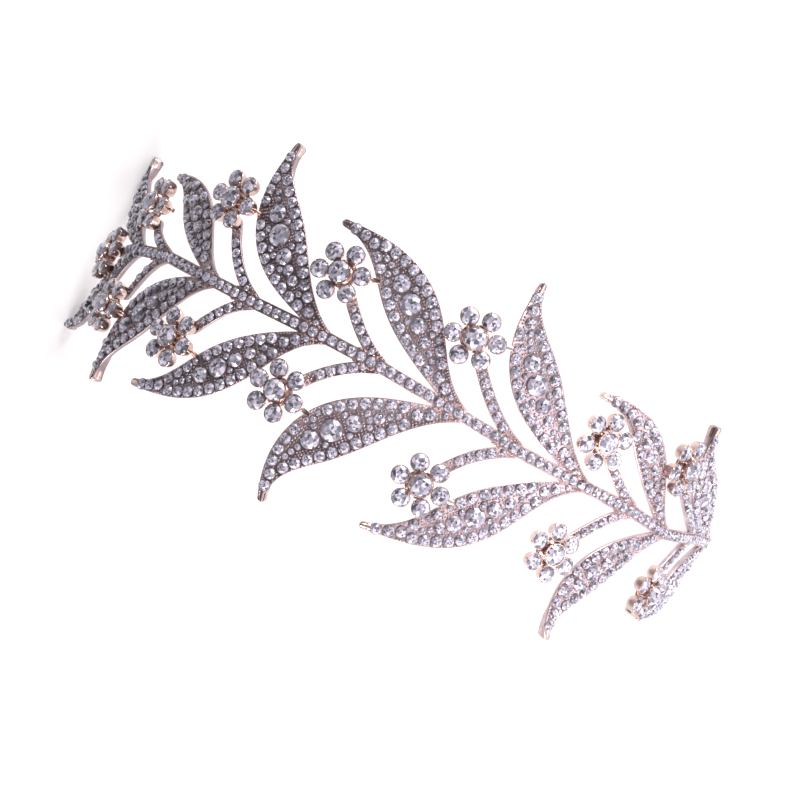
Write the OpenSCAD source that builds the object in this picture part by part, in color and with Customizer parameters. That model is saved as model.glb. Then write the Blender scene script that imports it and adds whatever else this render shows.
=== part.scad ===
// Leaf and flower bridal tiara: an arched vine of soldered castings, set with stones.
// The arch is round over the top and runs straight at its two ends, which it stands on,
// on the plane z = 0. X runs along the chord from the vine's tip (-X) to its root (+X),
// Y runs across the band, and Z points up.
// The layout is drawn flat: s is the distance along the band's outer face from the top
// of the arch, v is the distance across it. Both are then wrapped over the arch.

/* [Band] */
// Inside diameter of the arch's round part
head_w = 148; // [142:1:154]
// Thickness of the cast metal
metal_t = 1.2; // [1:0.1:1.5]
// Angle from the top of the arch to where each end starts to run straight
leg_angle = 70; // [68:1:72]

/* [Vine] */
// Width of the stem between two forks
stem_w = 2.7; // [2.5:0.1:2.9]
// Width of a flower's stalk
stalk_w = 2.5; // [2.4:0.1:2.8]
// Width of a leaf where it leaves the stem
leaf_root_w = 2.2; // [2:0.1:2.5]
// Width of a leaf's rounded tip
leaf_tip_w = 1.7; // [1.5:0.1:1.9]
// Angle between the stem and a branch that leaves it
leave_angle = 16; // [14:1:20]

/* [Stones] */
// Diameter of a small stone on a leaf
leaf_stone_d = 2.3; // [2.1:0.1:2.4]
// Diameter of a small stone on the stem or a stalk
stem_stone_d = 2.05; // [1.9:0.05:2.1]
// Diameter of the smallest stones, that fill the spaces between the others
filler_stone_d = 1.3; // [1.2:0.05:1.4]
// Gap between two small stones
stone_gap = 0.2; // [0.15:0.05:0.3]
// Height of a small stone above the metal
pave_h = 0.7; // [0.5:0.05:0.8]
// Diameter of a petal stone
petal_d = 3.7; // [3.5:0.1:3.8]
// Diameter of the stone in the middle of a flower
centre_d = 4.5; // [4.3:0.1:4.8]

/* [Flowers] */
// Distance from a flower's middle to each petal
ring_r = 4.6; // [4.5:0.05:4.8]
// Outer diameter of a petal's cup
cup_d = 4; // [3.95:0.05:4.2]
// Height of a petal's cup above the band
cup_h = 2.2; // [2:0.1:2.4]

/* [Hidden] */

metal = "rosybrown";
crystal = "lavender";

// The plan below is drawn for this inside diameter, and is stretched to fit any other
plan_w = 148;
stretch = head_w / plan_w;
inner_r = head_w / 2;
band_r = inner_r + metal_t;
round_s = band_r * leg_angle * PI / 180;
end_s = stretch * 110.7;
axis_z = (end_s - round_s) * sin(leg_angle) - band_r * cos(leg_angle);

// The forks of the stem, from the tip to the root. Each is [s, v, which of its two
// branches is cast in one piece with the stem beyond it: 1 upper, -1 lower].
fork_plan = [
    [-80, -1.5, -1],
    [-67, 0, 1],
    [-49, 0, -1],
    [-37, 0, 1],
    [-19, 0.5, 1],
    [-6, 0.5, 1],
    [13, -0.5, -1],
    [27, -1.5, 1],
    [44.5, -1.5, 1],
    [61, -1.5, 1],
    [76, -2.5, -1],
    [95, -0.5, 1],
    [111.7, 0, -1]
];
forks = [for (f = fork_plan) [stretch * f[0], stretch * f[1], f[2]]];

// How a branch's curve is drawn: the share of its length that it keeps its first
// direction, and the share that it keeps its last one.
sweep = [0.3, 0.32];
hook = [0.34, 0.4];
stalk_bend = [0.42, 0.25];

// The leaves. Each is [fork, s and v of its tip, direction of the tip, widest
// half width, curve].
leaf_plan = [
    [0, -110.6, 18, 100, 4.1, sweep],
    [2, -81.5, 16.5, 184, 4, hook],
    [4, -47.3, 32.7, 78, 5.5, sweep],
    [6, -28, 23, 180, 5.1, hook],
    [8, 14, 30, 88, 5, sweep],
    [10, 38, 16.8, 186, 3.6, hook],
    [12, 75, 22.5, 90, 4.7, sweep],
    [0, -111.2, -24.5, -174, 4.2, hook],
    [2, -73, -30.3, -80, 5, sweep],
    [4, -57.5, -26.5, -172, 4.7, hook],
    [6, -16.5, -34, -70, 5.3, sweep],
    [8, 4.5, -29.2, -170, 4.9, hook],
    [10, 54, -32.8, -58, 4.2, sweep],
    [12, 81, -20.8, -178, 4.6, hook]
];
leaves = [for (a = leaf_plan) [a[0], stretch * a[1], stretch * a[2], a[3], a[4], a[5]]];

// The flowers. Each is [fork, s and v of its middle, direction from there to the petal
// that its stalk holds].
flower_plan = [
    [1, -81.7, 9, -58],
    [3, -54.5, 17, -62],
    [5, -23.2, 13.5, -45],
    [7, 6.5, 14.4, -48],
    [9, 41.5, 8.5, -32],
    [11, 67.2, 12, -34],
    [1, -79.2, -15.5, 60],
    [3, -52, -14.5, 54],
    [5, -23.5, -13.6, 52],
    [7, 10.5, -16.7, 59],
    [9, 42.7, -16.7, 44],
    [11, 78, -15.5, 46],
    [0, -98.2, -5.5, 20]
];
flowers = [for (a = flower_plan) [a[0], stretch * a[1], stretch * a[2], a[3]]];
upper_half = 7;
tip_flower_index = 12;

outline_steps = 26;
cap_steps = 6;
row_steps = 60;
leaf_peak = 1.15;
leaf_belly = 1.9;
leaf_swell = 0.35;
widest_t = pow(0.5, 1 / leaf_peak);
prism_depth = 0.1 * band_r;
half_reach = 45;
leg_reach = end_s - round_s + 2 * stem_w;
stem_lap = 1;

// The small stones, and the three larger ones on each leaf
leaf_rim = 0.25;
tip_bare = 1.8;
end_bare = 1.3;
least_gap = 0.6 * stone_gap;
row_insets = [1, 1.5, 2];
row_tries = 3;
filler_rows = 7;
filler_tries = 4;
accent_share = [0.36, 0.43, 0.32];
accent_step = 0.1;
accent_gaps = [0.6, 0.8];
accent_clear = 0.15;
accent_h = 1.1;

// The heights in a flower, above the band
disc_r = 3;
disc_h = 0.6;
seat_h = 0.6;
neck_r = 1.9;
flare_h = 0.6;
setting_rise = 1;
setting_h = cup_h + setting_rise;
setting_wall = 0.25;
crown_h = 0.55;
centre_crown_h = 0.9;
lug_w = 1;
lug_end = 8;
petals = 6;
table_share = 0.62;

// Where the band is at s, and which way its outer face points there
function turn(s) = max(min(s / band_r * 180 / PI, leg_angle), -leg_angle);
function leg_run(s) = max(abs(s) - round_s, 0);
function band_x(s) = band_r * sin(turn(s)) + sign(s) * leg_run(s) * cos(leg_angle);
function band_z(s) = axis_z + band_r * cos(turn(s)) - leg_run(s) * sin(leg_angle);
function along(s, mid) =
    (band_x(s) - band_x(mid)) * cos(turn(mid)) - (band_z(s) - band_z(mid)) * sin(turn(mid));
function unit(a) = a / norm(a);
function side_of(row) = row[2] > forks[row[0]][1] ? 1 : -1;
function stem_v(s) = lookup(s, [for (f = forks) [f[0], f[1]]]);
function toward(a) = [cos(a), sin(a)];

// A cubic curve through four control points, and its direction
function bezier(p, t) =
    p[0] * pow(1 - t, 3) + 3 * p[1] * t * pow(1 - t, 2)
    + 3 * p[2] * t * t * (1 - t) + p[3] * pow(t, 3);
function bezier_dir(p, t) =
    unit((p[1] - p[0]) * pow(1 - t, 2) + 2 * (p[2] - p[1]) * t * (1 - t)
    + (p[3] - p[2]) * t * t);
function beside(p, t, d) = let (a = bezier_dir(p, t)) bezier(p, t) + d * [-a[1], a[0]];

// A branch leaves its fork towards the tip of the vine and bends away from the stem
function branch_curve(fork, side, leave, end, end_dir, bend) =
    let (start = [fork[0], fork[1]])
    let (reach = norm(end - start))
    [
        start,
        start + bend[0] * reach * [-cos(leave), side * sin(leave)],
        end - bend[1] * reach * end_dir,
        end
    ];
function leaf_curve(row) =
    branch_curve(forks[row[0]], side_of(row), leave_angle, [row[1], row[2]],
        toward(row[3]), row[5]);
function petal_place(row, k) =
    [row[1], row[2]] + ring_r * toward(row[3] + k * 360 / petals);
function stalk_curve(row) =
    branch_curve(forks[row[0]], side_of(row), row[0] == 0 ? 0 : leave_angle,
        petal_place(row, 0), -toward(row[3]), stalk_bend);

// Half the width of a leaf at t, from its root at 0 to its tip at 1
function leaf_half(row, t) =
    let (base = (leaf_root_w * (1 - t) + leaf_tip_w * t) / 2)
    base + (row[4] - base) * pow(max(sin(180 * pow(t, leaf_peak)), 0), leaf_belly)
    + leaf_swell * sin(180 * t);
function stalk_half(t) = stalk_w / 2 * min(1, 0.75 + 3 * t);

// The outline of a branch: up one side, round the end and back down the other
function branch_outline(curve, halves) =
    let (end_a = bezier_dir(curve, 1), end_w = halves[outline_steps])
    let (first = atan2(end_a[0], -end_a[1]))
    concat(
        [for (i = [0:outline_steps]) beside(curve, i / outline_steps, halves[i])],
        [for (k = [1:cap_steps - 1]) curve[3] + end_w * toward(first - 180 * k / cap_steps)],
        [for (i = [outline_steps:-1:0]) beside(curve, i / outline_steps, -halves[i])]
    );
function leaf_outline(row) =
    branch_outline(leaf_curve(row), [for (i = [0:outline_steps]) leaf_half(row, i / outline_steps)]);
function stalk_outline(row) =
    branch_outline(stalk_curve(row), [for (i = [0:outline_steps]) stalk_half(i / outline_steps)]);
function stem_outline(i) =
    let (a = [forks[i][0] - stem_lap, forks[i][1]])
    let (b = [forks[i + 1][0] - 2 * stem_lap, forks[i + 1][1]])
    let (across = stem_w / 2 * [-unit(b - a)[1], unit(b - a)[0]])
    [a + across, b + across, b - across, a - across];

// Points about one pitch apart along a row that runs beside a curve, as [s, v, t]
function running_length(points, i = 0, sum = 0) =
    i >= len(points) ? [] :
    let (more = i == 0 ? 0 : norm(points[i] - points[i - 1]))
    concat([sum + more], running_length(points, i + 1, sum + more));
function stone_row(curve, offsets, pitch) =
    let (path = [for (i = [0:row_steps]) beside(curve, i / row_steps, offsets[i])])
    let (along = running_length(path))
    let (count = floor(along[row_steps] / pitch), gap = along[row_steps] / count)
    let (t_at = [for (i = [0:row_steps]) [along[i], i / row_steps]])
    let (offset_at = [for (i = [0:row_steps]) [i / row_steps, offsets[i]]])
    [for (k = [0:count])
        let (t = lookup(k * gap, t_at), p = beside(curve, t, lookup(t, offset_at)))
        [p[0], p[1], t]];

// Each leaf holds three larger stones in a line across its widest stretch, each as
// [place, radius]
function accent_stones_of(row) =
    let (curve = leaf_curve(row), radii = row[4] * accent_share)
    let (middle = bezier(curve, widest_t))
    let (to_tip = unit(bezier(curve, widest_t + accent_step) - middle))
    let (to_root = unit(bezier(curve, widest_t - accent_step) - middle))
    [
        [middle, radii[1]],
        [middle + (radii[1] + radii[0] + accent_gaps[0]) * to_tip, radii[0]],
        [middle + (radii[1] + radii[2] + accent_gaps[1]) * to_root, radii[2]]
    ];

// A small stone of diameter d keeps clear of the stem, the flowers, their lugs and the ends
function on_stem(p, d) =
    p[0] < forks[0][0] ? false
    : abs(p[1] - stem_v(p[0])) < (d + stem_stone_d + stone_gap) / 2;
function under_petal(p, d) =
    len([for (row = flowers) if (norm([p[0] - row[1], p[1] - row[2]]) < 2 * ring_r)
        for (k = [0:petals - 1])
            if (norm([p[0], p[1]] - petal_place(row, k)) < (cup_d + d) / 2) 1]) > 0;
function under_lug(p, d) =
    len([for (row = flowers)
        let (a = lug_direction(row), away = [p[0] - row[1], p[1] - row[2]])
        if (away * toward(a) > 0 && away * toward(a) < lug_end + d / 2
            && abs(away * toward(a + 90)) < (lug_w + d) / 2) 1]) > 0;
function past_end(p) = abs(p[0]) > end_s - end_bare;
function is_free(p, d) =
    !(on_stem(p, d) || under_petal(p, d) || under_lug(p, d) || past_end(p));
function clear_of_accents(p, accents) =
    len([for (a = accents)
        if (norm([p[0], p[1]] - a[0]) < a[1] + p[3] / 2 + accent_clear) 1]) == 0;
function clear_of_stones(p, stones) =
    len([for (q = stones)
        if (norm([p[0] - q[0], p[1] - q[1]]) < (p[3] + q[3]) / 2 + least_gap) 1]) == 0;

// Goes through the places in order, and keeps each that has room beside all kept before
// it. A place is [s, v, t, diameter].
function fit_in(places, kept = [], i = 0) =
    i >= len(places) ? kept :
    let (p = places[i])
    fit_in(places, is_free(p, p[3]) && clear_of_stones(p, kept) ? concat(kept, [p]) : kept, i + 1);

// The rows that a leaf's small stones may take: one along each edge, one down the
// middle, rows between those, and rows of the smallest stones to fill what is left
function edge_offset(row, t) = leaf_half(row, t) - leaf_rim - leaf_stone_d / 2;
function beside_edge(row, inset, side, pitch) =
    stone_row(leaf_curve(row),
        [for (i = [0:row_steps]) side * max(edge_offset(row, i / row_steps) - inset, 0)], pitch);
function side_rows(row, inset, d, pitch) =
    [for (side = [1, -1], p = beside_edge(row, inset, side, pitch))
        if (edge_offset(row, p[2]) - inset >= (d + stone_gap) / 2) [p[0], p[1], p[2], d]];
function middle_row(curve, d, pitch) =
    [for (p = stone_row(curve, [for (i = [0:row_steps]) 0], pitch)) [p[0], p[1], p[2], d]];
function leaf_places(row) =
    let (d = leaf_stone_d, pitch = d + stone_gap, small = filler_stone_d)
    concat(
        side_rows(row, 0, d, pitch),
        middle_row(leaf_curve(row), d, pitch),
        [for (inset = row_insets) each side_rows(row, inset * pitch, d, pitch / row_tries)],
        middle_row(leaf_curve(row), small, small / filler_tries),
        [for (step = [0:filler_rows - 1])
            each side_rows(row, step * small / 2, small, small / filler_tries)]
    );
function leaf_stones_of(row) =
    let (accents = accent_stones_of(row), tip = [row[1], row[2]])
    fit_in([for (p = leaf_places(row))
        if (norm([p[0], p[1]] - tip) > tip_bare && clear_of_accents(p, accents)) p]);

// A stalk has one row, that ends in smaller stones where it meets the stem
function stalk_stones_of(row) =
    fit_in(concat(
        middle_row(stalk_curve(row), stem_stone_d, stem_stone_d + stone_gap),
        middle_row(stalk_curve(row), filler_stone_d, filler_stone_d / filler_tries)));
function stem_stones_of() =
    let (first = forks[0][0], count = floor((end_s - first) / (stem_stone_d + stone_gap)))
    let (gap = (end_s - first) / count)
    [for (k = [0:count - 1]) let (s = first + k * gap) [s, stem_v(s), 0, stem_stone_d]];

// A lug reaches from one petal to the leaf beside it
function lug_direction(row) = row[3] + side_of(row) * 360 / petals;

// Places a child on the band, with its Z axis pointing straight out of it
module on_band(p, out = 0) {
    translate([band_x(p[0]), p[1], band_z(p[0])])
        rotate([0, turn(p[0]), 0])
            translate([0, 0, out])
                children();
}

// The two straight ends of the arch, as slabs of some depth below its outer face
module straight_ends(depth) {
    for (side = [-1, 1])
        on_band([side * round_s, 0])
            translate([side > 0 ? 0 : -leg_reach, -half_reach, -depth])
                cube([leg_reach, 2 * half_reach, depth]);
}

// A cylinder along the arch's axis
module arch_cylinder(r, half) {
    translate([0, 0, axis_z])
        rotate([90, 0, 0])
            cylinder(h = 2 * half, r = r, center = true, $fn = 360);
}

// Everything within leg_angle of the top of the arch
module top_wedge() {
    far = 2 * band_r;
    x = far * sin(leg_angle);
    z = far * cos(leg_angle);
    translate([0, 0, axis_z])
        rotate([90, 0, 0])
            translate([0, 0, -half_reach])
                linear_extrude(height = 2 * half_reach)
                    polygon([[0, 0], [x, z], [x, far], [-x, far], [-x, z]]);
}

// The bent sheet that every casting is cut from
module band_shell() {
    intersection() {
        difference() {
            arch_cylinder(band_r, half_reach);
            arch_cylinder(inner_r, half_reach + 1);
        }
        top_wedge();
    }
    straight_ends(metal_t);
}

// All that is inside the band's outer face
module under_band() {
    arch_cylinder(band_r, half_reach);
    straight_ends(4 * metal_t);
}

// A flat outline stood up as a prism that passes through the band
module prism(outline) {
    mid = (max([for (p = outline) p[0]]) + min([for (p = outline) p[0]])) / 2;
    on_band([mid, 0], -prism_depth)
        linear_extrude(height = 2 * prism_depth)
            polygon([for (p = outline) [along(p[0], mid), p[1]]]);
}

module below_floor() {
    translate([-2 * band_r, -half_reach, -2 * band_r])
        cube([4 * band_r, 2 * half_reach, 2 * band_r]);
}

// Both branches of a fork, as prisms, for cutting what butts against them
module fork_prisms(i) {
    for (row = leaves)
        if (row[0] == i) prism(leaf_outline(row));
    for (row = flowers)
        if (row[0] == i && i > 0) prism(stalk_outline(row));
}

// A branch, with the stretch of stem that is cast with it, cut to fit its neighbours
module branch_casting(row, outline, partner) {
    keeps_stem = side_of(row) == forks[row[0]][2];
    has_stem = row[0] < len(forks) - 1;
    color(metal)
        difference() {
            intersection() {
                union() band_shell();
                union() {
                    prism(outline);
                    if (keeps_stem && has_stem) prism(stem_outline(row[0]));
                }
            }
            if (!keeps_stem) prism(partner);
            if (!keeps_stem && has_stem) prism(stem_outline(row[0]));
            if (keeps_stem && has_stem) fork_prisms(row[0] + 1);
            below_floor();
        }
}

module leaf_casting(i) {
    partner = leaves[(i + upper_half) % len(leaves)];
    branch_casting(leaves[i], leaf_outline(leaves[i]), leaf_outline(partner));
}

module stalk_casting(i) {
    partner = flowers[(i + petals) % tip_flower_index];
    branch_casting(flowers[i], stalk_outline(flowers[i]), stalk_outline(partner));
}

// The last flower's stalk grows from the fork of the first two leaves
module tip_stalk_casting() {
    color(metal)
        difference() {
            intersection() {
                union() band_shell();
                prism(stalk_outline(flowers[tip_flower_index]));
            }
            fork_prisms(0);
            prism(stem_outline(0));
        }
}

// Six cups round a disc, and the lug that ties one of them to a leaf
module flower_casting(i) {
    row = flowers[i];
    sink = metal_t / 2;
    color(metal)
        difference() {
            on_band([row[1], row[2]], -sink)
                flower_body(row, sink);
            under_band();
        }
}

module flower_body(row, sink) {
    difference() {
        union() {
            cylinder(h = sink + disc_h, r = disc_r, $fn = 48);
            for (k = [0:petals - 1])
                rotate([0, 0, row[3] + k * 360 / petals])
                    translate([ring_r, 0, 0])
                        cylinder(h = sink + cup_h, d = cup_d, $fn = 48);
            rotate([0, 0, lug_direction(row)])
                translate([ring_r, -lug_w / 2, 0])
                    cube([lug_end - ring_r, lug_w, sink + disc_h]);
        }
        for (k = [0:petals - 1])
            rotate([0, 0, row[3] + k * 360 / petals])
                translate([ring_r, 0, sink + cup_h - seat_h])
                    cylinder(h = seat_h + 1, d = petal_d, $fn = 48);
    }
}

// The raised cup that holds the stone in the middle of each flower
module centre_setting() {
    setting_r = centre_d / 2 + setting_wall;
    neck_h = setting_h - seat_h - flare_h;
    difference() {
        union() {
            translate([0, 0, disc_h])
                cylinder(h = neck_h - disc_h, r = neck_r, $fn = 48);
            translate([0, 0, neck_h])
                cylinder(h = flare_h, r1 = neck_r, r2 = setting_r, $fn = 48);
            translate([0, 0, neck_h + flare_h])
                cylinder(h = seat_h, r = setting_r, $fn = 48);
        }
        translate([0, 0, setting_h - seat_h])
            cylinder(h = seat_h + 1, d = centre_d, $fn = 48);
    }
}

module centre_settings() {
    color(metal)
        for (row = flowers)
            on_band([row[1], row[2]])
                centre_setting();
}

// A cut stone: a straight girdle in its seat and a sloping crown up to a flat table
module cut_stone(d, girdle, crown) {
    cylinder(h = girdle, d = d, $fn = 32);
    translate([0, 0, girdle])
        cylinder(h = crown, d1 = d, d2 = d * table_share, $fn = 32);
}

module centre_stones() {
    color(crystal)
        for (row = flowers)
            on_band([row[1], row[2]], setting_h - seat_h)
                cut_stone(centre_d, seat_h, centre_crown_h);
}

module petal_stones() {
    color(crystal)
        for (row = flowers, k = [0:petals - 1])
            on_band([row[1], row[2]])
                rotate([0, 0, row[3] + k * 360 / petals])
                    translate([ring_r, 0, cup_h - seat_h])
                        cut_stone(petal_d, seat_h, crown_h);
}

module accent_stones() {
    color(crystal)
        for (row = leaves, stone = accent_stones_of(row))
            on_band(stone[0])
                cylinder(h = accent_h, r1 = stone[1], r2 = stone[1] * table_share, $fn = 32);
}

// A small stone shows only its crown above the metal
module pave(stones) {
    color(crystal)
        for (p = stones)
            on_band(p)
                cylinder(h = pave_h * p[3] / leaf_stone_d, d1 = p[3], d2 = p[3] * table_share,
                    $fn = 24);
}

module leaf_stones(first) {
    pave([for (i = [first:first + upper_half - 1]) each leaf_stones_of(leaves[i])]);
}

module stalk_stones() {
    pave([for (row = flowers) each stalk_stones_of(row)]);
}

module stem_stones() {
    pave(stem_stones_of());
}

leaf_casting(0);  // upper_leaf_1
leaf_casting(1);  // upper_leaf_2
leaf_casting(2);  // upper_leaf_3
leaf_casting(3);  // upper_leaf_4
leaf_casting(4);  // upper_leaf_5
leaf_casting(5);  // upper_leaf_6
leaf_casting(6);  // upper_leaf_7
leaf_casting(7);  // lower_leaf_1
leaf_casting(8);  // lower_leaf_2
leaf_casting(9);  // lower_leaf_3
leaf_casting(10);  // lower_leaf_4
leaf_casting(11);  // lower_leaf_5
leaf_casting(12);  // lower_leaf_6
leaf_casting(13);  // lower_leaf_7
stalk_casting(0);  // upper_stalk_1
stalk_casting(1);  // upper_stalk_2
stalk_casting(2);  // upper_stalk_3
stalk_casting(3);  // upper_stalk_4
stalk_casting(4);  // upper_stalk_5
stalk_casting(5);  // upper_stalk_6
stalk_casting(6);  // lower_stalk_1
stalk_casting(7);  // lower_stalk_2
stalk_casting(8);  // lower_stalk_3
stalk_casting(9);  // lower_stalk_4
stalk_casting(10);  // lower_stalk_5
stalk_casting(11);  // lower_stalk_6
tip_stalk_casting();  // tip_stalk
flower_casting(0);  // upper_flower_1
flower_casting(1);  // upper_flower_2
flower_casting(2);  // upper_flower_3
flower_casting(3);  // upper_flower_4
flower_casting(4);  // upper_flower_5
flower_casting(5);  // upper_flower_6
flower_casting(6);  // lower_flower_1
flower_casting(7);  // lower_flower_2
flower_casting(8);  // lower_flower_3
flower_casting(9);  // lower_flower_4
flower_casting(10);  // lower_flower_5
flower_casting(11);  // lower_flower_6
flower_casting(tip_flower_index);  // tip_flower
centre_settings();
centre_stones();
petal_stones();
accent_stones();
leaf_stones(0);  // upper_leaf_stones
leaf_stones(upper_half);  // lower_leaf_stones
stalk_stones();
stem_stones();
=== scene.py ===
import math
import random
from math import cos, pi, radians, sin

import bpy
from mathutils import Matrix, Vector


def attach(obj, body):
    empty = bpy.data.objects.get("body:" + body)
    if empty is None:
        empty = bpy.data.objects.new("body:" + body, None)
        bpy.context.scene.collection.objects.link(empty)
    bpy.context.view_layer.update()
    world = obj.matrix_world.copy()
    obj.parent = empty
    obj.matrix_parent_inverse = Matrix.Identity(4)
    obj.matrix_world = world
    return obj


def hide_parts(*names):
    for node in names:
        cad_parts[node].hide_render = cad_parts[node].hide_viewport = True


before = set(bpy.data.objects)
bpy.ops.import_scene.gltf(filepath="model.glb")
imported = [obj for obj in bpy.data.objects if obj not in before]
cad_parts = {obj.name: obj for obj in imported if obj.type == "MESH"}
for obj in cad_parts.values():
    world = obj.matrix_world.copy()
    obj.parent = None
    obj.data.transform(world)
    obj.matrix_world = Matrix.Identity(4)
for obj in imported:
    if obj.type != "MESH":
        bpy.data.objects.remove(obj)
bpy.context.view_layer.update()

# ---------------------------------------------------------------- sizes, in millimetres
# The driving sizes are the CAD model's own, so that each piece lies where its node does.

MM = 0.001

# The band: a round arch with straight ends. Distances along it (s) start at its top.
INNER_R = 74.0
METAL_T = 1.2
BAND_R = INNER_R + METAL_T
LEG_ANGLE = radians(70)
ROUND_S = BAND_R * LEG_ANGLE
END_S = 110.7
END_BARE = 1.3
AXIS_Z = (END_S - ROUND_S) * sin(LEG_ANGLE) - BAND_R * cos(LEG_ANGLE)

# Half widths of the stem and its branches, and the outline of a leaf
STEM_HALF = 1.35
STEM_LEAD = 1
STALK_HALF = 1.25
STALK_START = 0.75
STALK_WIDENING = 3
ROOT_HALF = 1.1
TIP_HALF = 0.85
LEAVE_ANGLE = radians(16)
LEAF_PEAK = 1.15
LEAF_BELLY = 1.9
LEAF_SWELL = 0.35
WIDEST_T = 0.5 ** (1 / LEAF_PEAK)

# The bare tip of a leaf, which is thicker than the rest
TIP_BARE = 1.8
TIP_EXTRA = 1.4
TIP_START = 0.84
TIP_RISE = 0.7
TIP_SIDES = 16
CAP_PROUD = 0.04
CAP_RISE = 0.1

# The small stones
LEAF_STONE_D = 2.3
STEM_STONE_D = 2.05
FILLER_D = 1.3
STONE_GAP = 0.2
LEAST_GAP = 0.6 * STONE_GAP
LEAF_RIM = 0.25
ROW_INSETS = (1, 1.5, 2)
ROW_TRIES = 3
FILLER_ROWS = 7
FILLER_TRIES = 4

# The three larger stones of a leaf: radius as a share of the leaf's half width, and gaps
ACCENT_SHARE = (0.36, 0.43, 0.32)
ACCENT_GAPS = (0.6, 0.8)
ACCENT_CLEAR = 0.15
AIM_STEP = 0.1

# The flowers
PETALS = 6
RING_R = 4.6
PETAL_R = 1.85
CUP_R = 2.0
CUP_H = 2.2
CENTRE_R = 2.25
SETTING_H = 3.2
DISC_R = 3.0
DISC_H = 0.6
LUG_W = 1.0
LUG_END = 8.0
PETAL_CLAWS = 4
CENTRE_CLAWS = 6
CLAW_FOOT = 0.45

# ---------------------------------------------------------------- the plan, as in the CAD

# The forks of the stem: (distance along the band, distance across it, which branch is
# cast in one piece with the stem beyond: 1 the upper, -1 the lower)
FORKS = [
    (-80, -1.5, -1), (-67, 0, 1), (-49, 0, -1), (-37, 0, 1), (-19, 0.5, 1),
    (-6, 0.5, 1), (13, -0.5, -1), (27, -1.5, 1), (44.5, -1.5, 1), (61, -1.5, 1),
    (76, -2.5, -1), (95, -0.5, 1), (111.7, 0, -1),
]
# How a branch bends: how far it runs straight on from its fork and into its end, as
# shares of its reach
SWEEP = (0.3, 0.32)
HOOK = (0.34, 0.4)
STALK_BEND = (0.42, 0.25)

# The leaves, upper and then lower, from the tip: (number of its fork, its tip along and
# across the band, direction of its tip in degrees, widest half width, bend)
LEAVES = [
    (0, -110.6, 18, 100, 4.1, SWEEP),
    (2, -81.5, 16.5, 184, 4, HOOK),
    (4, -47.3, 32.7, 78, 5.5, SWEEP),
    (6, -28, 23, 180, 5.1, HOOK),
    (8, 14, 30, 88, 5, SWEEP),
    (10, 38, 16.8, 186, 3.6, HOOK),
    (12, 75, 22.5, 90, 4.7, SWEEP),
    (0, -111.2, -24.5, -174, 4.2, HOOK),
    (2, -73, -30.3, -80, 5, SWEEP),
    (4, -57.5, -26.5, -172, 4.7, HOOK),
    (6, -16.5, -34, -70, 5.3, SWEEP),
    (8, 4.5, -29.2, -170, 4.9, HOOK),
    (10, 54, -32.8, -58, 4.2, SWEEP),
    (12, 81, -20.8, -178, 4.6, HOOK),
]
# The flowers in the same order, then the one at the vine's tip: (number of its fork, its
# middle along and across the band, direction of the petal on its stalk in degrees)
FLOWERS = [
    (1, -81.7, 9, -58), (3, -54.5, 17, -62), (5, -23.2, 13.5, -45),
    (7, 6.5, 14.4, -48), (9, 41.5, 8.5, -32), (11, 67.2, 12, -34),
    (1, -79.2, -15.5, 60), (3, -52, -14.5, 54), (5, -23.5, -13.6, 52),
    (7, 10.5, -16.7, 59), (9, 42.7, -16.7, 44), (11, 78, -15.5, 46),
    (0, -98.2, -5.5, 20),
]
LEAVES_A_SIDE = 7
FLOWERS_A_SIDE = 6


def side_names(kind, count):
    """The names of alike nodes: upper_KIND_1 and on, then lower_KIND_1 and on."""
    return [f"{side}_{kind}_{i}" for side in ("upper", "lower") for i in range(1, count + 1)]


LEAF_NODES = side_names("leaf", LEAVES_A_SIDE)
FLOWER_NODES = side_names("flower", FLOWERS_A_SIDE) + ["tip_flower"]
STALK_NODES = side_names("stalk", FLOWERS_A_SIDE) + ["tip_stalk"]


def band_frame(s):
    """The outer face at s: how far it has turned, and its place in the arch's plane."""
    turn = max(-LEG_ANGLE, min(LEG_ANGLE, s / BAND_R))
    run = max(abs(s) - ROUND_S, 0)
    x = BAND_R * sin(turn) + math.copysign(run * cos(LEG_ANGLE), s)
    z = AXIS_Z + BAND_R * cos(turn) - run * sin(LEG_ANGLE)
    return turn, x, z


def place(s, v, h):
    """A point h above the band's outer face, in metres, and no lower than the floor."""
    turn, x, z = band_frame(s)
    return Vector((x + h * sin(turn), v, max(z + h * cos(turn), 0))) * MM


def seat(s, v, h=0.0, spin=0.0):
    """The matrix that stands something on the band, with its Z axis straight out."""
    turn, x, z = band_frame(s)
    return (
        Matrix.Translation(Vector((x, v, z)) * MM)
        @ Matrix.Rotation(turn, 4, "Y")
        @ Matrix.Translation((0, 0, h * MM))
        @ Matrix.Rotation(spin, 4, "Z")
    )


def raised(h):
    return Matrix.Translation((0, 0, h * MM))


def toward(degrees):
    return Vector((cos(radians(degrees)), sin(radians(degrees))))


def bezier(p, t):
    return (
        p[0] * (1 - t) ** 3 + 3 * p[1] * t * (1 - t) ** 2
        + 3 * p[2] * t * t * (1 - t) + p[3] * t ** 3
    )


def heading(p, t):
    d = (p[1] - p[0]) * (1 - t) ** 2 + 2 * (p[2] - p[1]) * t * (1 - t) + (p[3] - p[2]) * t * t
    return d.normalized()


def beside(p, t, offset):
    """The point at t of a curve, moved sideways to its left."""
    a = heading(p, t)
    return bezier(p, t) + offset * Vector((-a.y, a.x))


def side_of(row):
    return 1 if row[2] > FORKS[row[0]][1] else -1


def branch_curve(fork, side, leave, end, end_dir, bend):
    """A branch's middle line, from its fork backwards along the band to its end."""
    start = Vector(fork[:2])
    reach = (end - start).length
    return [
        start,
        start + bend[0] * reach * Vector((-cos(leave), side * sin(leave))),
        end - bend[1] * reach * end_dir,
        end,
    ]


def leaf_curve(row):
    tip = Vector((row[1], row[2]))
    return branch_curve(FORKS[row[0]], side_of(row), LEAVE_ANGLE, tip, toward(row[3]), row[5])


def petal_place(row, k):
    return Vector((row[1], row[2])) + RING_R * toward(row[3] + k * 360 / PETALS)


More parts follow.
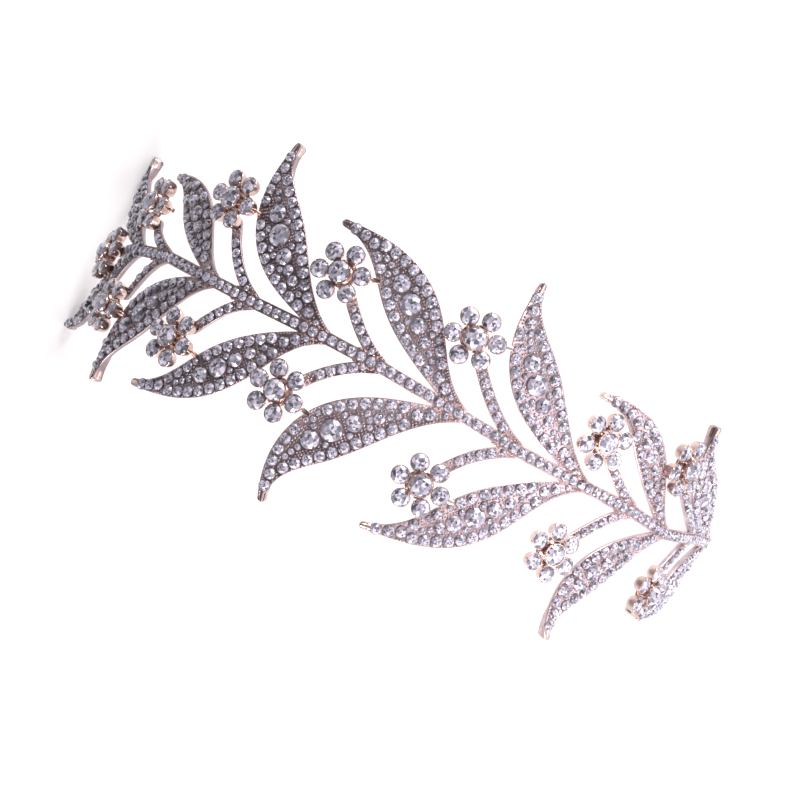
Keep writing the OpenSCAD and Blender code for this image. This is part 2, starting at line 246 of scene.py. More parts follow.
def stalk_curve(row):
    leave = 0 if row[0] == 0 else LEAVE_ANGLE
    return branch_curve(
        FORKS[row[0]], side_of(row), leave, petal_place(row, 0), -toward(row[3]), STALK_BEND)


def lug_direction(row):
    return row[3] + side_of(row) * 360 / PETALS


def leaf_half(row, t):
    base = ROOT_HALF * (1 - t) + TIP_HALF * t
    belly = max(sin(pi * t ** LEAF_PEAK), 0) ** LEAF_BELLY
    return base + (row[4] - base) * belly + LEAF_SWELL * sin(pi * t)


def stalk_half(t):
    return STALK_HALF * min(1, STALK_START + STALK_WIDENING * t)


def stem_v(s):
    """How far across the band the stem's middle line is at s."""
    for a, b in zip(FORKS, FORKS[1:]):
        if s <= b[0]:
            return a[1] + (b[1] - a[1]) * (s - a[0]) / (b[0] - a[0])
    return FORKS[-1][1]


# ---------------------------------------------------------------- where the stones go

def stone_row(curve, offset_at, pitch, steps=60):
    """Places about one pitch apart along a row beside a curve, as (point, t)."""
    path = [beside(curve, i / steps, offset_at(i / steps)) for i in range(steps + 1)]
    run = [0.0]
    for a, b in zip(path, path[1:]):
        run.append(run[-1] + (b - a).length)
    count = int(run[-1] / pitch)
    places = []
    i = 0
    for k in range(count + 1):
        want = run[-1] * k / count
        while i < steps - 1 and run[i + 1] < want:
            i += 1
        t = (i + (want - run[i]) / (run[i + 1] - run[i])) / steps
        places.append((beside(curve, t, offset_at(t)), t))
    return places


def accents_of(row):
    """The three larger stones of a leaf, as (point, radius)."""
    curve = leaf_curve(row)
    tip_r, mid_r, root_r = (row[4] * share for share in ACCENT_SHARE)
    middle = bezier(curve, WIDEST_T)
    to_tip = (bezier(curve, WIDEST_T + AIM_STEP) - middle).normalized()
    to_root = (bezier(curve, WIDEST_T - AIM_STEP) - middle).normalized()
    return [
        (middle, mid_r),
        (middle + (mid_r + tip_r + ACCENT_GAPS[0]) * to_tip, tip_r),
        (middle + (mid_r + root_r + ACCENT_GAPS[1]) * to_root, root_r),
    ]


def near_end(p):
    return abs(p.x) > END_S - END_BARE


def on_stem(p, r):
    clear = r + (STEM_STONE_D + STONE_GAP) / 2
    return p.x >= FORKS[0][0] and abs(p.y - stem_v(p.x)) < clear


def under_flower(p, r):
    for row in FLOWERS:
        away = p - Vector((row[1], row[2]))
        if away.length < 2 * RING_R:
            if any((p - petal_place(row, k)).length < CUP_R + r for k in range(PETALS)):
                return True
        lug = toward(lug_direction(row))
        reach = away.dot(lug)
        if 0 < reach < LUG_END + r and abs(away.cross(lug)) < LUG_W / 2 + r:
            return True
    return False


def is_free(p, r):
    return not (on_stem(p, r) or under_flower(p, r) or near_end(p))


def fit_in(places):
    """Keeps each place in turn that clears the stem, the flowers and all those kept."""
    kept = []
    for p, t, d in places:
        if is_free(p, d / 2) and all(
                (p - q).length >= (d + e) / 2 + LEAST_GAP for q, _, e in kept):
            kept.append((p, t, d))
    return kept


def edge_offset(row, t):
    return leaf_half(row, t) - LEAF_RIM - LEAF_STONE_D / 2


def side_rows(row, inset, d, pitch):
    """Both rows some way in from the leaf's edge rows, as (point, t, diameter)."""
    places = []
    for side in (1, -1):
        def offset(t, side=side):
            return side * max(edge_offset(row, t) - inset, 0)
        places += [(p, t, d) for p, t in stone_row(leaf_curve(row), offset, pitch)
                   if edge_offset(row, t) - inset >= (d + STONE_GAP) / 2]
    return places


def middle_row(curve, d, pitch):
    return [(p, t, d) for p, t in stone_row(curve, lambda t: 0, pitch)]


def leaf_places(row):
    """Every place that a leaf's small stones may take, in order of preference."""
    d = LEAF_STONE_D
    pitch = d + STONE_GAP
    curve = leaf_curve(row)
    places = side_rows(row, 0, d, pitch) + middle_row(curve, d, pitch)
    for inset in ROW_INSETS:
        places += side_rows(row, inset * pitch, d, pitch / ROW_TRIES)
    places += middle_row(curve, FILLER_D, FILLER_D / FILLER_TRIES)
    for step in range(FILLER_ROWS):
        places += side_rows(row, step * FILLER_D / 2, FILLER_D, FILLER_D / FILLER_TRIES)
    return places


def leaf_stones_of(row):
    """The small stones of a leaf, as (point, t, diameter)."""
    tip = Vector((row[1], row[2]))
    accents = accents_of(row)
    return fit_in(
        (p, t, d) for p, t, d in leaf_places(row)
        if (p - tip).length > TIP_BARE
        and all((p - a).length >= r + d / 2 + ACCENT_CLEAR for a, r in accents))


def stalk_stones_of(row):
    """A row of small stones down a stalk, with smaller ones where it meets the stem."""
    curve = stalk_curve(row)
    full = middle_row(curve, STEM_STONE_D, STEM_STONE_D + STONE_GAP)
    return fit_in(full + middle_row(curve, FILLER_D, FILLER_D / FILLER_TRIES))


def stem_stones():
    """The places of the stones in one row down the stem."""
    first = FORKS[0][0]
    count = int((END_S - first) / (STEM_STONE_D + STONE_GAP))
    places = [first + k * (END_S - first) / count for k in range(count)]
    return [Vector((s, stem_v(s))) for s in places]


# ---------------------------------------------------------------- materials

CLOUD_SCALE = 260
GRAIN_SCALE = 2600
GRAIN_DEPTH = 0.00008
SPECK_SCALE = 1500
SPECK_REACH = 0.35
# Where the painted shade towards the vine's tip is darkest, and where it ends.
TIP_SHADE_DARKEST_X = -78 * MM
TIP_SHADE_END_X = 5 * MM


def new_material(name):
    material = bpy.data.materials.new(name)
    material.use_nodes = True
    tree = material.node_tree
    return material, tree, tree.nodes["Principled BSDF"]


def object_coords(tree):
    return tree.nodes.new("ShaderNodeTexCoord").outputs["Object"]


def noise(tree, scale, detail, coords):
    node = tree.nodes.new("ShaderNodeTexNoise")
    node.inputs["Scale"].default_value = scale
    node.inputs["Detail"].default_value = detail
    tree.links.new(coords, node.inputs["Vector"])
    return node.outputs["Fac"]


def ramp(tree, fac, stops):
    node = tree.nodes.new("ShaderNodeValToRGB")
    while len(node.color_ramp.elements) < len(stops):
        node.color_ramp.elements.new(0.5)
    for element, (position, colour) in zip(node.color_ramp.elements, stops):
        element.position = position
        element.color = (*colour, 1)
    tree.links.new(fac, node.inputs["Fac"])
    return node.outputs["Color"]


def remap(tree, value, low, high, from_low=0.0, from_high=1.0):
    """Turns the range from_low to from_high into low to high, and holds it there."""
    node = tree.nodes.new("ShaderNodeMapRange")
    node.inputs["From Min"].default_value = from_low
    node.inputs["From Max"].default_value = from_high
    node.inputs["To Min"].default_value = low
    node.inputs["To Max"].default_value = high
    tree.links.new(value, node.inputs["Value"])
    return node.outputs["Result"]


def bump(tree, fac, strength, distance):
    node = tree.nodes.new("ShaderNodeBump")
    node.inputs["Strength"].default_value = strength
    node.inputs["Distance"].default_value = distance
    tree.links.new(fac, node.inputs["Height"])
    return node.outputs["Normal"]


def painted_shade_at_tip(tree, colour, coords, tip_shade_share):
    """Painted shade: the colour is darkened towards the vine's tip, down to the given share there."""
    split = tree.nodes.new("ShaderNodeSeparateXYZ")
    tree.links.new(coords, split.inputs["Vector"])
    scale = tree.nodes.new("ShaderNodeVectorMath")
    scale.operation = "SCALE"
    tree.links.new(colour, scale.inputs[0])
    share = remap(tree, split.outputs["X"], tip_shade_share, 1, TIP_SHADE_DARKEST_X, TIP_SHADE_END_X)
    tree.links.new(share, scale.inputs["Scale"])
    return scale.outputs["Vector"]


def rose_gold(name, dull, bright, rough, pitting, tip_shade_share):
    """Plated rose gold: cloudy tarnish, a finely pitted skin and uneven polish, with painted shade that
    darkens it towards the vine's tip.
    """
    material, tree, shader = new_material(name)
    coords = object_coords(tree)
    cloud = noise(tree, CLOUD_SCALE, 4, coords)
    grain = noise(tree, GRAIN_SCALE, 3, coords)
    colour = ramp(tree, cloud, [(0.35, dull), (0.62, bright)])
    tree.links.new(painted_shade_at_tip(tree, colour, coords, tip_shade_share), shader.inputs["Base Color"])
    tree.links.new(remap(tree, cloud, rough[1], rough[0]), shader.inputs["Roughness"])
    tree.links.new(bump(tree, grain, pitting, GRAIN_DEPTH), shader.inputs["Normal"])
    shader.inputs["Metallic"].default_value = 1
    return material


def speckled(tree, shade, coords):
    """A facet's painted reflection shade, made a little uneven: shade + (speck - 0.5) * SPECK_REACH."""
    shift = tree.nodes.new("ShaderNodeMath")
    shift.operation = "SUBTRACT"
    shift.inputs[1].default_value = SPECK_REACH / 2
    tree.links.new(shade, shift.inputs[0])
    mix = tree.nodes.new("ShaderNodeMath")
    mix.operation = "MULTIPLY_ADD"
    mix.inputs[1].default_value = SPECK_REACH
    tree.links.new(noise(tree, SPECK_SCALE, 2, coords), mix.inputs[0])
    tree.links.new(shift.outputs["Value"], mix.inputs[2])
    return mix.outputs["Value"]


def cut_crystal(name):
    """Foil-backed cut stone: every facet has its own painted reflection, from slate to white, and
    painted shade darkens the stones towards the vine's tip.
    """
    material, tree, shader = new_material(name)
    facet = tree.nodes.new("ShaderNodeAttribute")
    facet.attribute_name = "facet"
    painted_shades = [
        (0.0, (0.07, 0.075, 0.09)),
        (0.22, (0.15, 0.15, 0.18)),
        (0.5, (0.3, 0.29, 0.355)),
        (0.75, (0.48, 0.455, 0.555)),
        (1.0, (0.8, 0.74, 0.85)),
    ]
    coords = object_coords(tree)
    colour = ramp(tree, speckled(tree, facet.outputs["Fac"], coords), painted_shades)
    tree.links.new(painted_shade_at_tip(tree, colour, coords, 0.8), shader.inputs["Base Color"])
    shader.inputs["Metallic"].default_value = 0.12
    shader.inputs["Roughness"].default_value = 0.2
    shader.inputs["IOR"].default_value = 1.5
    shader.inputs["Coat Weight"].default_value = 0.2
    shader.inputs["Coat Roughness"].default_value = 0.05
    return material


# The last number of each finish is how far painted shade darkens it at the vine's tip.
CAST = rose_gold(
    "rose_gold_cast", dull=(0.485, 0.388, 0.4), bright=(0.67, 0.55, 0.572),
    rough=(0.28, 0.4), pitting=0.6, tip_shade_share=0.48)
POLISHED = rose_gold(
    "rose_gold_polished", dull=(0.54, 0.4, 0.36), bright=(0.78, 0.61, 0.56),
    rough=(0.18, 0.32), pitting=0.15, tip_shade_share=0.9)
SOLDER = rose_gold(
    "solder", dull=(0.36, 0.22, 0.19), bright=(0.56, 0.37, 0.32),
    rough=(0.28, 0.42), pitting=0.5, tip_shade_share=0.8)
# A dark finish for painted shadow: rings round the stones and the lips of the holes behind them.
PAINTED_SHADOW = rose_gold(
    "rose_gold_painted_shadow", dull=(0.22, 0.16, 0.155), bright=(0.42, 0.33, 0.33),
    rough=(0.4, 0.6), pitting=0.4, tip_shade_share=0.5)
CRYSTAL = cut_crystal("crystal")
dice = random.Random(7)


# ---------------------------------------------------------------- mesh building

class Shape:
    """Points and faces gathered from several pieces, for one mesh."""

    def __init__(self):
        self.points = []
        self.faces = []
        self.painted_shades = []

    def add(self, points, faces, painted_shades=None):
        start = len(self.points)
        self.points += points
        self.faces += [tuple(start + i for i in face) for face in faces]
        self.painted_shades += painted_shades or [0.5] * len(faces)

    def add_at(self, matrix, points, faces, painted_shades=None):
        self.add([matrix @ p for p in points], faces, painted_shades)

    def piece(self, name, material, slot, nodes=(), sharp=40):
        """Makes the mesh, with each face's shade for the crystal material. Edges over sharp
        degrees stay sharp, and all of them do if it is None."""
        mesh = bpy.data.meshes.new(name)
        mesh.from_pydata(self.points, [], self.faces)
        mesh.validate()
        if sharp is None:
            mesh.shade_flat()
        else:
            mesh.shade_smooth()
            mesh.set_sharp_from_angle(angle=radians(sharp))
        # Each face's painted reflection shade, which the crystal material reads.
        shade = mesh.attributes.new("facet", "FLOAT", "FACE")
        if len(self.painted_shades) == len(mesh.polygons):
            shade.data.foreach_set("value", self.painted_shades)
        mesh.materials.append(material)
        piece = bpy.data.objects.new(name, mesh)
        bpy.context.scene.collection.objects.link(piece)
        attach(piece, "root")
        if nodes:
            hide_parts(*nodes)


def ring_faces(rings, size):
    """Faces between rings of the same number of points, and over both end rings."""
    faces = []
    for r in range(rings - 1):
        a, b = r * size, (r + 1) * size
        for k in range(size):
            n = (k + 1) % size
            faces.append((a + k, a + n, b + n, b + k))
    faces.append(tuple(range(size - 1, -1, -1)))
    faces.append(tuple(range((rings - 1) * size, rings * size)))
    return faces


def turned(profile, around=24):
    """Points and faces of a closed shape turned about Z from (radius, height) pairs."""
    points = []
    for r, h in profile:
        for k in range(around):
            a = 2 * pi * k / around
            points.append(Vector((r * cos(a), r * sin(a), h)) * MM)
    return points, ring_faces(len(profile), around)


# ---------------------------------------------------------------- the castings' plates

SECTION_HALF = 1.1
HOLLOW = 0.25
HOLLOW_LOSS = 0.3
FIELD_H = -0.1
END_TURNS = (25, 50, 68, 80)
BRANCH_STEPS = 36
CAP_STEPS = 8
STEM_STEPS = 12


def section(half, depth, lift):
    """A plate's cross section, from its left edge over the top and back underneath:
    a rounded edge, a thin raised rim, a sunk field for the stones and a hollow back.
    A narrow plate has a finer edge, and a thick one less of a hollow."""
    f = min(1, half / SECTION_HALF)
    hollow = max(HOLLOW - HOLLOW_LOSS * (depth - METAL_T), 0)
    edge = [
        (0.3, -depth + 0.15), (0, -0.3), (0.03, -0.12), (0.1, -0.04), (0.24, -0.03), (0.36, -0.14),
    ]
    left = [(-half + d * f, h + lift) for d, h in edge]
    right = [(half - d * f, h + lift) for d, h in reversed(edge)]
    under = [(half - 0.5 * f, -depth), (0, -depth + hollow), (-half + 0.5 * f, -depth)]
    return left + [(0, FIELD_H + lift)] + right + under


def add_plate(shape, places, lift):
    """Adds a plate swept along places, each (centre, heading, half width, depth)."""
    points = []
    for centre, along, half, depth in places:
        across = Vector((-along.y, along.x))
        for x, h in section(half, depth, lift):
            p = centre - x * across
            points.append(place(p.x, p.y, h))
    shape.add(points, ring_faces(len(places), len(points) // len(places)))


def branch_places(curve, half_at, tip_extra, first=0.0, steps=BRANCH_STEPS):
    """Places along a branch, which ends round and may thicken towards its end."""
    places = []
    for i in range(steps + 1):
        t = first + (1 - first) * i / steps
        share = max(0, (t - TIP_START) / (1 - TIP_START)) ** TIP_RISE
        places.append((bezier(curve, t), heading(curve, t), half_at(t), METAL_T + tip_extra * share))
    tip, along, half, depth = places[-1]
    for degrees in END_TURNS:
        a = radians(degrees)
        end_depth = depth * (1 + cos(a)) / 2
        places.append((tip + half * sin(a) * along, along, half * cos(a), end_depth))
    return places


def stem_places(i):
    """Places along the stem, from just before one fork to just before the next."""
    start = Vector((FORKS[i][0] - STEM_LEAD, FORKS[i][1]))
    end = Vector((FORKS[i + 1][0] - STEM_LEAD, FORKS[i + 1][1]))
    along = (end - start).normalized()
    return [(start.lerp(end, k / STEM_STEPS), along, STEM_HALF, METAL_T)
            for k in range(STEM_STEPS + 1)]


def add_tip_cap(shape, row):
    """The bare polished end of a leaf, a smooth knob that stands a little proud."""
    curve = leaf_curve(row)
    first = 1 - TIP_BARE / (curve[3] - curve[0]).length
    places = branch_places(
        curve, lambda t: leaf_half(row, t) + CAP_PROUD, TIP_EXTRA + CAP_RISE, first, CAP_STEPS)
    points = []
    for centre, along, half, depth in places:
        across = Vector((-along.y, along.x))
        for k in range(TIP_SIDES):
            a = 2 * pi * k / TIP_SIDES
            p = centre + half * cos(a) * across
            points.append(place(p.x, p.y, CAP_RISE + depth / 2 * (sin(a) - 1)))
    shape.add(points, ring_faces(len(places), TIP_SIDES))


# ---------------------------------------------------------------- what holds the stones

BEAD = turned([(0.26, -0.2), (0.26, 0.0), (0.2, 0.13), (0.08, 0.2)], 8)
BEAD_PITCH = 0.62
BEAD_EDGE = 0.42
BEAD_CLEAR = 0.2
BEAD_ROOM = 0.38
BEAD_H = -0.08
BEZEL_H = -0.05
SHADOW_RING_H = -0.02


def add_beads(shape, stones, accents, curve, half_at):
    """Grains of metal raised in every space between the stones, to hold them down."""
    taken = [(p, d / 2) for p, _, d in stones] + accents
    steps = int((curve[3] - curve[0]).length / BEAD_PITCH)
    for i in range(1, steps):
        t = i / steps
        reach = half_at(t) - BEAD_EDGE
        rows = int(2 * reach / BEAD_PITCH) + 1
        for k in range(rows + 1):
            spot = beside(curve, t, reach * (2 * k / rows - 1))
            if near_end(spot) or on_stem(spot, 0):
                continue
            if all((spot - p).length > r + BEAD_CLEAR for p, r in taken):
                taken.append((spot, BEAD_ROOM))
                shape.add_at(seat(spot.x, spot.y, BEAD_H), *BEAD)


def bezel(radius):
    """A thin collar round a larger stone."""
    return turned([
        (radius + 0.16, -0.2), (radius + 0.14, 0.16), (radius + 0.07, 0.26),
        (radius - 0.02, 0.24), (radius - 0.04, 0.1), (radius - 0.05, -0.2)])


def shadow_ring(radius):
    """A ring of painted shadow round the hole that a stone is sunk in."""
    return turned([(radius + 0.13, -0.3), (radius + 0.12, 0.0), (radius - 0.02, 0.05),
                   (radius - 0.1, -0.3)], 16)


def back_hole(d):
    """The lipped opening at the back of the metal, behind a stone of diameter d."""
    r = d / 2
    back = -METAL_T
    return turned([(0.34 * r, back + 0.2), (0.42 * r, back - 0.03), (0.5 * r, back - 0.06),
                   (0.57 * r, back), (0.57 * r, back + 0.4)], 12)


# ---------------------------------------------------------------- cut stones

CUT_SIDES = 8
TABLE = 0.56
STAR = 0.55
KITE_H = 0.55
SMALL_GIRDLE = (-0.1, 0.2)
SMALL_CROWN = 0.21
ACCENT_GIRDLE = (-0.1, 0.3)
ACCENT_CROWN = 0.75
PETAL_GIRDLE = (CUP_H - 0.4, CUP_H)
PETAL_CROWN = 0.55
CENTRE_GIRDLE = (SETTING_H - 0.5, SETTING_H)
CENTRE_CROWN = 0.9
LEAN_DEGREES = 3

# How the facets' painted reflections are shaded: up to which roll of the dice, and between which
# shades. First the painted bright flashes, then the facets painted dark, then the rest.
PAINTED_REFLECTIONS = (
    (0.24, (0.9, 1.1)),
    (0.46, (0.0, 0.25)),
    (1.0, (0.35, 0.8)),
)


def brilliant(radius, girdle, crown):
    """A round brilliant from above: girdle, star and kite facets, and a table split into flat
    facets whose painted shades stand for the stone's underside seen through it."""
    n = CUT_SIDES
    points = []

    def ring(r, h, count, turn=0.0):
        first = len(points)
        for k in range(count):
            a = 2 * pi * (k + turn) / count
            points.append(Vector((r * cos(a), r * sin(a), h)) * MM)
        return first

    top_h = girdle[1] + crown
    low = ring(radius, girdle[0], 2 * n)
    high = ring(radius, girdle[1], 2 * n)
    kite = ring(radius * (1 + TABLE) / 2, girdle[1] + crown * KITE_H, n, 0.5)
    top = ring(radius * TABLE, top_h, n)
    inner = ring(radius * TABLE * STAR, top_h, n, 0.5)
    culet = ring(0, top_h, 1)
    faces = [tuple(range(low + 2 * n - 1, low - 1, -1))]
    for k in range(2 * n):
        m = (k + 1) % (2 * n)
        faces.append((low + k, low + m, high + m, high + k))
    for k in range(n):
        m = (k + 1) % n
        before = (k - 1) % n
        corner = high + 2 * k
        middle = corner + 1
        after = high + (2 * k + 2) % (2 * n)
        faces.append((corner, middle, kite + k))
        faces.append((middle, after, kite + k))
        faces.append((corner, kite + k, top + k, kite + before))
        faces.append((kite + k, top + m, top + k))
        faces.append((top + k, top + m, inner + k))
        faces.append((top + k, inner + k, culet, inner + before))
    return points, faces


# A facet's painted reflection: a bright flash, a dark facet or one between.
def painted_facet_shade():
    roll = dice.random()
    low, high = next(span for up_to, span in PAINTED_REFLECTIONS if roll < up_to)
    return dice.uniform(low, high)


def any_turn():
    return dice.uniform(0, 2 * pi)


def add_stone(shape, matrix, cut):
    """Adds a stone that leans a little, as one set by hand does."""
    lean = Matrix.Rotation(radians(dice.uniform(-LEAN_DEGREES, LEAN_DEGREES)), 4, "X")
    points, faces = cut
    shape.add_at(matrix @ lean, points, faces, [painted_facet_shade() for _ in faces])


# ---------------------------------------------------------------- leaves, stalks and stem

STEM_LIFT = 0.03
STALK_LIFT = -0.02
LEAF_STONES = [leaf_stones_of(row) for row in LEAVES]
STALK_STONES = [stalk_stones_of(row) for row in FLOWERS]


def branch_casting(row, curve, half_at, stones, accents, lift, tip_extra):
    """A leaf or a stalk, with the stretch of stem that is cast in one piece with it."""
    shape = Shape()
    add_plate(shape, branch_places(curve, half_at, tip_extra), lift)
    if side_of(row) == FORKS[row[0]][2] and row[0] < len(FORKS) - 1:
        add_plate(shape, stem_places(row[0]), STEM_LIFT)
    add_beads(shape, stones, accents, curve, half_at)
    for p, r in accents:
        shape.add_at(seat(p.x, p.y, BEZEL_H), *bezel(r))
    return shape


def leaves():
    for name, row, stones in zip(LEAF_NODES, LEAVES, LEAF_STONES):
        shape = branch_casting(
            row, leaf_curve(row), lambda t, row=row: leaf_half(row, t),
            stones, accents_of(row), 0.0, TIP_EXTRA)
        shape.piece(name + "_casting", CAST, "rose_gold", [name], 50)


def stalks():
    for name, row, stones in zip(STALK_NODES, FLOWERS, STALK_STONES):
        shape = branch_casting(row, stalk_curve(row), stalk_half, stones, [], STALK_LIFT, 0)
        shape.piece(name + "_casting", CAST, "rose_gold", [name], 50)


def leaf_tips():
    shape = Shape()
    for row in LEAVES:
        add_tip_cap(shape, row)
    shape.piece("leaf_tips", POLISHED, "rose_gold", (), 50)


def back_holes():
    holes = [(p, STEM_STONE_D) for p in stem_stones()]
    for row, stones in zip(LEAVES, LEAF_STONES):
        holes += [(p, d) for p, _, d in stones] + [(p, 2 * r) for p, r in accents_of(row)]
    for stones in STALK_STONES:
        holes += [(p, d) for p, _, d in stones]
    shape = Shape()
    for p, d in holes:
        shape.add_at(seat(p.x, p.y), *back_hole(d))
    # The lips are dark with painted shade, for the shadow in the openings.
    shape.piece("back_holes", PAINTED_SHADOW, "rose_gold")


# ---------------------------------------------------------------- the set stones

def paved(name, stones):
    """A node's small stones, each cut to its own diameter, and a ring of painted shadow round each one's
    hole.
    """
    shape = Shape()
    shadow_rings = Shape()
    for p, d in stones:
        cut = brilliant(d / 2, SMALL_GIRDLE, SMALL_CROWN * d)
        add_stone(shape, seat(p.x, p.y, 0, any_turn()), cut)
        shadow_rings.add_at(seat(p.x, p.y, SHADOW_RING_H), *shadow_ring(d / 2))
    shape.piece(name + "_cut", CRYSTAL, "crystal", [name], None)
    shadow_rings.piece(name + "_seats", PAINTED_SHADOW, "rose_gold")


def small_stones():
    upper = LEAF_STONES[:LEAVES_A_SIDE]
    lower = LEAF_STONES[LEAVES_A_SIDE:]
    groups = (("upper_leaf_stones", upper), ("lower_leaf_stones", lower), ("stalk_stones", STALK_STONES))
    for name, rows in groups:
        paved(name, [(p, d) for stones in rows for p, _, d in stones])
    paved("stem_stones", [(p, STEM_STONE_D) for p in stem_stones()])


def accent_stones():
    shape = Shape()
    for row in LEAVES:
        for p, r in accents_of(row):
            add_stone(shape, seat(p.x, p.y, 0, any_turn()), brilliant(r, ACCENT_GIRDLE, ACCENT_CROWN))
    shape.piece("accent_stones_cut", CRYSTAL, "crystal", ["accent_stones"], None)


# ---------------------------------------------------------------- the flowers

PETAL_CUP = turned([
    (0.9, 0.0), (1.35, 0.08), (1.62, 0.4), (1.78, 0.9), (1.92, CUP_H - 0.4),
    (CUP_R, CUP_H - 0.05), (1.96, CUP_H), (1.87, CUP_H), (PETAL_R, CUP_H - 0.15),
    (1.8, CUP_H - 0.4), (0.6, CUP_H - 0.45)])
DISC = turned([
    (1.2, 0.02), (2.6, 0.04), (DISC_R, 0.2), (DISC_R, 0.42), (2.8, DISC_H),
    (1.4, DISC_H + 0.05)], 36)
CLAW = turned([(0.2, 0.0), (0.22, 0.35), (0.17, 0.6), (0.07, 0.7)], 8)
SETTING = turned([
    (1.9, 0.3), (1.65, 0.6), (1.6, SETTING_H - 1.5), (1.75, SETTING_H - 1.15),
    (CENTRE_R - 0.1, SETTING_H - 0.75), (CENTRE_R + 0.13, SETTING_H - 0.5),
    (CENTRE_R + 0.22, SETTING_H - 0.15), (CENTRE_R + 0.18, SETTING_H),
    (CENTRE_R + 0.05, SETTING_H), (CENTRE_R + 0.02, SETTING_H - 0.2),
    (CENTRE_R - 0.1, SETTING_H - 0.4), (0.8, SETTING_H - 0.5)], 36)
PETAL_CUT = brilliant(PETAL_R, PETAL_GIRDLE, PETAL_CROWN)
CENTRE_CUT = brilliant(CENTRE_R, CENTRE_GIRDLE, CENTRE_CROWN)
PETAL_CLAW_LEAN = radians(-14)
CENTRE_CLAW_LEAN = radians(-16)
LUG_START = RING_R + 1.2
LUG_SIDE_H = 0.42


def on_flower(angle, reach, h, lean=0.0):
    """The matrix of something on a flower, at an angle and a distance from its middle."""
    return (
        Matrix.Rotation(angle, 4, "Z")
        @ Matrix.Translation(Vector((reach, 0, h)) * MM)
        @ Matrix.Rotation(lean, 4, "Y")
    )


def lug():
    """The short bar from a petal to the leaf beside it, narrower at its end."""
    rings = []
    for x, w in ((LUG_START, LUG_W / 2), (LUG_END - 0.5, LUG_W / 2), (LUG_END, 0.4 * LUG_W)):
        outline = ((-w, 0.0), (w, 0.0), (w, LUG_SIDE_H), (w / 2, DISC_H), (-w / 2, DISC_H),
                   (-w, LUG_SIDE_H))
        rings += [Vector((x, y, h)) * MM for y, h in outline]
    return rings, ring_faces(3, 6)


def add_petal(head, shadow_rings, stones, petal):
    """A petal's cup, claws and stone, and the ring of painted shadow round the stone."""
    head.add_at(petal, *PETAL_CUP)
    for k in range(PETAL_CLAWS):
        angle = radians((k + 0.5) * 360 / PETAL_CLAWS)
        claw = on_flower(angle, CUP_R - 0.1, CUP_H - CLAW_FOOT, PETAL_CLAW_LEAN)
        head.add_at(petal @ claw, *CLAW)
    shadow_rings.add_at(petal @ raised(CUP_H), *shadow_ring(PETAL_R - 0.04))
    add_stone(stones, petal @ Matrix.Rotation(any_turn(), 4, "Z"), PETAL_CUT)


def add_centre(settings, shadow_rings, stones, flower, first_petal):
    """A flower's middle cup, its claws between the petals, and its stone."""
    settings.add_at(flower, *SETTING)
    for k in range(CENTRE_CLAWS):
        angle = radians(first_petal + (k + 0.5) * 360 / CENTRE_CLAWS)
        claw = on_flower(angle, CENTRE_R + 0.12, SETTING_H - CLAW_FOOT, CENTRE_CLAW_LEAN)
        settings.add_at(flower @ claw, *CLAW)
    # A ring of painted shadow round the centre stone.
    shadow_rings.add_at(flower @ raised(SETTING_H), *shadow_ring(CENTRE_R))
    add_stone(stones, flower @ Matrix.Rotation(any_turn(), 4, "Z"), CENTRE_CUT)


def flowers():
    petal_stones = Shape()
    centre_stones = Shape()
    settings = Shape()
    shadow_rings = Shape()
    for name, row in zip(FLOWER_NODES, FLOWERS):
        flower = seat(row[1], row[2])
        head = Shape()
        head.add_at(flower, *DISC)
        for k in range(PETALS):
            petal = flower @ on_flower(radians(row[3] + k * 360 / PETALS), RING_R, 0)
            add_petal(head, shadow_rings, petal_stones, petal)
        head.add_at(flower @ Matrix.Rotation(radians(lug_direction(row)), 4, "Z"), *lug())
        head.piece(name + "_head", POLISHED, "rose_gold", [name], 50)
        add_centre(settings, shadow_rings, centre_stones, flower, row[3])
    petal_stones.piece("petal_stones_cut", CRYSTAL, "crystal", ["petal_stones"], None)
    centre_stones.piece("centre_stones_cut", CRYSTAL, "crystal", ["centre_stones"], None)
    settings.piece("centre_settings_cups", POLISHED, "rose_gold", ["centre_settings"], 50)
    # The rings of painted shadow round all the flowers' stones.
    shadow_rings.piece("flower_seats", PAINTED_SHADOW, "rose_gold")


# ---------------------------------------------------------------- solder at the forks

DROPS = 6
DROP_FIRST = 2
DROP_PITCH = 0.95
DROP_HALF_W = 0.3
DROP_H = 0.25
DROP = turned([(1.0, -0.3), (0.98, 0.0), (0.75, 0.6), (0.35, 0.92), (0.1, 1.0)], 12)


def solder_drop(half_length):
    points, faces = DROP
    return [Vector((p.x * half_length, p.y * DROP_HALF_W, p.z * DROP_H)) for p in points], faces


def solder_joints():
    """Small drops in a row down both edges of the stem, just before each fork."""
    shape = Shape()
    for fork in FORKS[:-1]:
        for side in (1, -1):
            for k in range(DROPS):
                s = fork[0] - DROP_FIRST - DROP_PITCH * k
                v = stem_v(s) + side * (STEM_HALF + dice.uniform(-0.1, 0.05))
                if s > FORKS[0][0]:
                    shape.add_at(seat(s, v, -0.1), *solder_drop(dice.uniform(0.5, 0.75)))
    shape.piece("solder_joints", SOLDER, "rose_gold", (), 60)


# ---------------------------------------------------------------- floor, light and camera

FLOOR_HALF = 12
LAMP_SIZE = 0.6
LAMP_AIM = Vector((0, 0, 0.03))
HAZE_LOW = 0.12
HAZE_HIGH = 0.24
HAZE = (0.8, 0.79, 0.8)
SENSOR_W = 36
LENS = 101.25
CAMERA_ABOVE_AXIS = 526.4
CAMERA_TURN = radians(28)


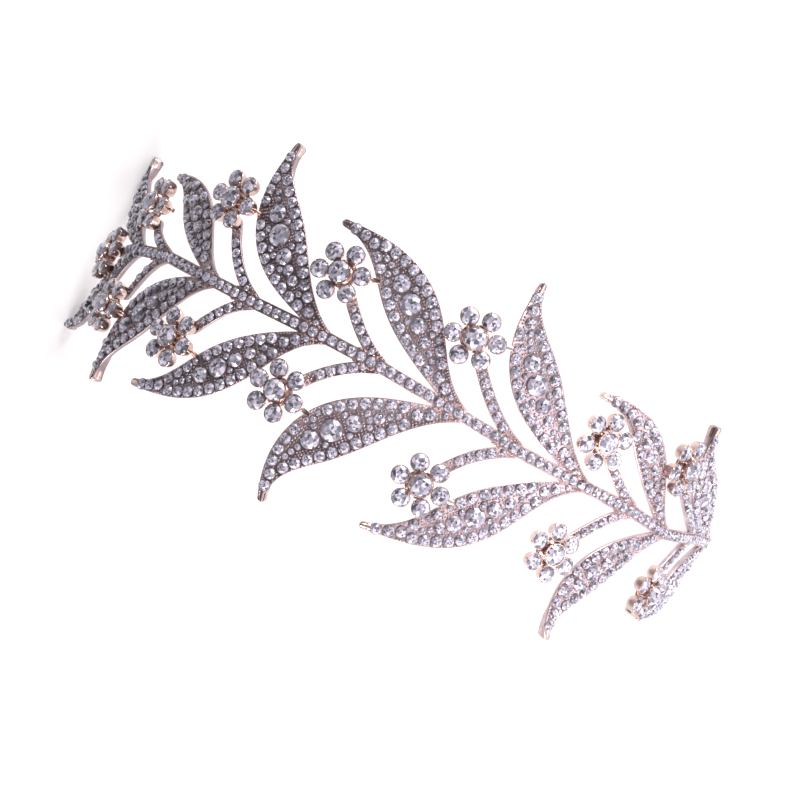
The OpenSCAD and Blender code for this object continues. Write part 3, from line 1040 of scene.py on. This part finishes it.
def pale_floor():
    material, tree, shader = new_material("floor")
    cloud = noise(tree, 3, 2, object_coords(tree))
    shade = ramp(tree, cloud, [(0.3, (0.93, 0.93, 0.93)), (0.7, (0.96, 0.96, 0.96))])
    tree.links.new(shade, shader.inputs["Base Color"])
    shader.inputs["Roughness"].default_value = 0.7
    mesh = bpy.data.meshes.new("floor")
    corners = [(x * FLOOR_HALF, y * FLOOR_HALF, 0) for x, y in ((-1, -1), (1, -1), (1, 1), (-1, 1))]
    mesh.from_pydata(corners, [], [(0, 1, 2, 3)])
    mesh.materials.append(material)
    floor = bpy.data.objects.new("floor", mesh)
    bpy.context.scene.collection.objects.link(floor)


def soft_light(name, place_at, power, colour):
    data = bpy.data.lights.new(name, "AREA")
    data.energy = power
    data.size = LAMP_SIZE
    data.color = colour
    lamp = bpy.data.objects.new(name, data)
    lamp.location = place_at
    aim = LAMP_AIM - Vector(place_at)
    lamp.rotation_euler = aim.to_track_quat("-Z", "Y").to_euler()
    bpy.context.scene.collection.objects.link(lamp)


def studio_world():
    """Soft surroundings, brighter on the root's side of the tiara, and pale low down."""
    world = bpy.data.worlds.new("studio")
    world.use_nodes = True
    tree = world.node_tree
    split = tree.nodes.new("ShaderNodeSeparateXYZ")
    coords = tree.nodes.new("ShaderNodeTexCoord").outputs["Generated"]
    tree.links.new(coords, split.inputs["Vector"])
    across = remap(tree, split.outputs["X"], 0, 1, -1, 1)
    colour = ramp(tree, across, [
        (0.25, (0.1, 0.1, 0.11)), (0.5, (0.36, 0.34, 0.36)), (0.8, (1.15, 1.06, 1.11))])
    haze = tree.nodes.new("ShaderNodeMix")
    haze.data_type = "RGBA"
    factor, first, second = haze.inputs[0], haze.inputs[6], haze.inputs[7]
    tree.links.new(remap(tree, split.outputs["Z"], 1, 0, HAZE_LOW, HAZE_HIGH), factor)
    tree.links.new(colour, first)
    second.default_value = (*HAZE, 1)
    tree.links.new(haze.outputs[2], tree.nodes["Background"].inputs["Color"])
    bpy.context.scene.world = world


def camera_above():
    """The camera, straight above the middle of the arch and looking down on it."""
    data = bpy.data.cameras.new("camera")
    data.sensor_width = SENSOR_W
    data.lens = LENS
    data.shift_x = -0.015
    data.shift_y = -0.017
    camera = bpy.data.objects.new("camera", data)
    camera.location = (0, 0, (AXIS_Z + CAMERA_ABOVE_AXIS) * MM)
    camera.rotation_euler = (0, 0, CAMERA_TURN)
    bpy.context.scene.collection.objects.link(camera)
    bpy.context.scene.camera = camera
    bpy.context.scene.view_settings.view_transform = "Standard"


leaves()
stalks()
small_stones()
leaf_tips()
back_holes()
accent_stones()
flowers()
solder_joints()

pale_floor()
studio_world()
soft_light("front", (0.2, -1.2, 0.6), 17, (1.0, 0.98, 0.98))
soft_light("back", (0.1, 1.2, 0.6), 17, (1.0, 0.98, 0.98))
soft_light("right", (1.1, 0.0, 0.5), 4, (1.0, 0.95, 0.96))
camera_above()
